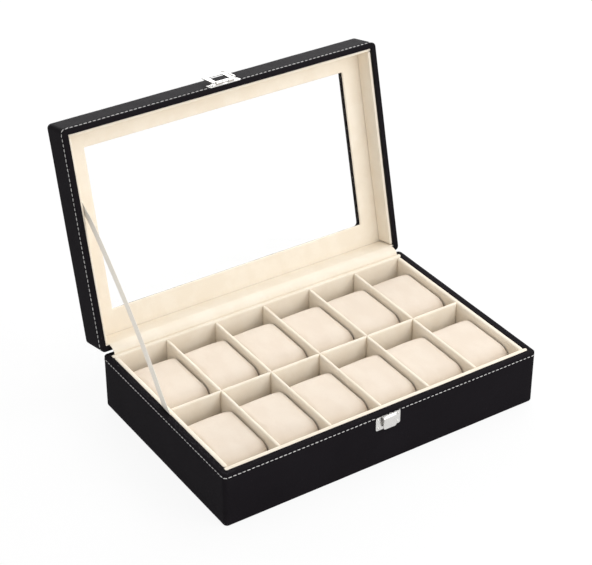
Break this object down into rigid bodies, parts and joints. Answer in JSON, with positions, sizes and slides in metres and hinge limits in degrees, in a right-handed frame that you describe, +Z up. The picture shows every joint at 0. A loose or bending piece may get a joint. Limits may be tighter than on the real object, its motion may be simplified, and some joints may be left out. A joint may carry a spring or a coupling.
{
  "type": "watch box",
  "caption": "Leather-covered watch box with a glazed hinged lid, velvet-lined compartments with lift-out cushions, a stay ribbon and a hasp clasp.",
  "frame": {"origin": "middle of the felt underside that the box stands on", "axes": "+X along the width to the right seen from the clasp side, +Y to the hinge side, +Z up"},
  "size_m": [0.314, 0.281, 0.2513],
  "materials": {
    "black_leather": "satin",
    "board": "matte",
    "cream_velvet": "matte",
    "cushion_velvet": "matte",
    "clear_glass": "polished",
    "black_felt": "matte",
    "cream_ribbon": "satin",
    "nickel": "polished"
  },
  "bodies": {
    "base": {"base_back_liner": "cream_velvet", "base_back_wall": "board", "base_bottom_board": "board", "base_cover": "black_leather", "base_front_liner": "cream_velvet", "base_front_wall": "board", "base_left_liner": "cream_velvet", "base_left_wall": "board", "base_right_liner": "cream_velvet", "base_right_wall": "board", "catch_nails": "nickel", "clasp_catch": "nickel", "cross_divider_1": "cream_velvet", "cross_divider_2": "cream_velvet", "cross_divider_3": "cream_velvet", "cross_divider_4": "cream_velvet", "cross_divider_5": "cream_velvet", "felt_pad": "black_felt", "floor_lining": "cream_velvet", "hinge_base_leaf_left": "nickel", "hinge_base_leaf_right": "nickel", "hinge_base_nails": "nickel", "hinge_pin_left": "nickel", "hinge_pin_right": "nickel", "long_divider": "cream_velvet", "rear_strip": "cream_velvet", "stay_ribbon": "cream_ribbon"},
    "lid": {"hasp_nails": "nickel", "hasp_pin": "nickel", "hasp_plate": "nickel", "hinge_lid_leaf_left": "nickel", "hinge_lid_leaf_right": "nickel", "hinge_lid_nails": "nickel", "inner_frame": "cream_velvet", "lid_back_liner": "cream_velvet", "lid_back_rail": "board", "lid_board": "board", "lid_cover": "black_leather", "lid_front_liner": "cream_velvet", "lid_front_rail": "board", "lid_left_liner": "cream_velvet", "lid_left_rail": "board", "lid_right_liner": "cream_velvet", "lid_right_rail": "board", "window_glass": "clear_glass"},
    "hasp": {"hasp_loop": "nickel"},
    "cushion_1_body": {"cushion_1": "cushion_velvet"},
    "cushion_2_body": {"cushion_2": "cushion_velvet"},
    "cushion_3_body": {"cushion_3": "cushion_velvet"},
    "cushion_4_body": {"cushion_4": "cushion_velvet"},
    "cushion_5_body": {"cushion_5": "cushion_velvet"},
    "cushion_6_body": {"cushion_6": "cushion_velvet"},
    "cushion_7_body": {"cushion_7": "cushion_velvet"},
    "cushion_8_body": {"cushion_8": "cushion_velvet"},
    "cushion_9_body": {"cushion_9": "cushion_velvet"},
    "cushion_10_body": {"cushion_10": "cushion_velvet"},
    "cushion_11_body": {"cushion_11": "cushion_velvet"},
    "cushion_12_body": {"cushion_12": "cushion_velvet"}
  },
  "joints": [
    {"name": "lid_hinge", "type": "hinge", "parent": "base", "child": "lid", "pos_m": [0, 0.1004, 0.0523], "axis": [-1, 0, 0], "range_deg": [-103.3, 0], "deforming": ["stay_ribbon", "rear_strip"]},
    {"name": "hasp_hinge", "type": "hinge", "parent": "lid", "child": "hasp", "pos_m": [0, 0.14861, 0.2497], "axis": [-1, 0, 0], "range_deg": [-174, 0]},
    {"name": "cushion_1_lift", "type": "slide", "parent": "base", "child": "cushion_1_body", "axis": [0, 0, 1], "range_m": [0, 0.06]},
    {"name": "cushion_2_lift", "type": "slide", "parent": "base", "child": "cushion_2_body", "axis": [0, 0, 1], "range_m": [0, 0.06]},
    {"name": "cushion_3_lift", "type": "slide", "parent": "base", "child": "cushion_3_body", "axis": [0, 0, 1], "range_m": [0, 0.06]},
    {"name": "cushion_4_lift", "type": "slide", "parent": "base", "child": "cushion_4_body", "axis": [0, 0, 1], "range_m": [0, 0.06]},
    {"name": "cushion_5_lift", "type": "slide", "parent": "base", "child": "cushion_5_body", "axis": [0, 0, 1], "range_m": [0, 0.06]},
    {"name": "cushion_6_lift", "type": "slide", "parent": "base", "child": "cushion_6_body", "axis": [0, 0, 1], "range_m": [0, 0.06]},
    {"name": "cushion_7_lift", "type": "slide", "parent": "base", "child": "cushion_7_body", "axis": [0, 0, 1], "range_m": [0, 0.06]},
    {"name": "cushion_8_lift", "type": "slide", "parent": "base", "child": "cushion_8_body", "axis": [0, 0, 1], "range_m": [0, 0.06]},
    {"name": "cushion_9_lift", "type": "slide", "parent": "base", "child": "cushion_9_body", "axis": [0, 0, 1], "range_m": [0, 0.06]},
    {"name": "cushion_10_lift", "type": "slide", "parent": "base", "child": "cushion_10_body", "axis": [0, 0, 1], "range_m": [0, 0.06]},
    {"name": "cushion_11_lift", "type": "slide", "parent": "base", "child": "cushion_11_body", "axis": [0, 0, 1], "range_m": [0, 0.06]},
    {"name": "cushion_12_lift", "type": "slide", "parent": "base", "child": "cushion_12_body", "axis": [0, 0, 1], "range_m": [0, 0.06]}
  ]
}
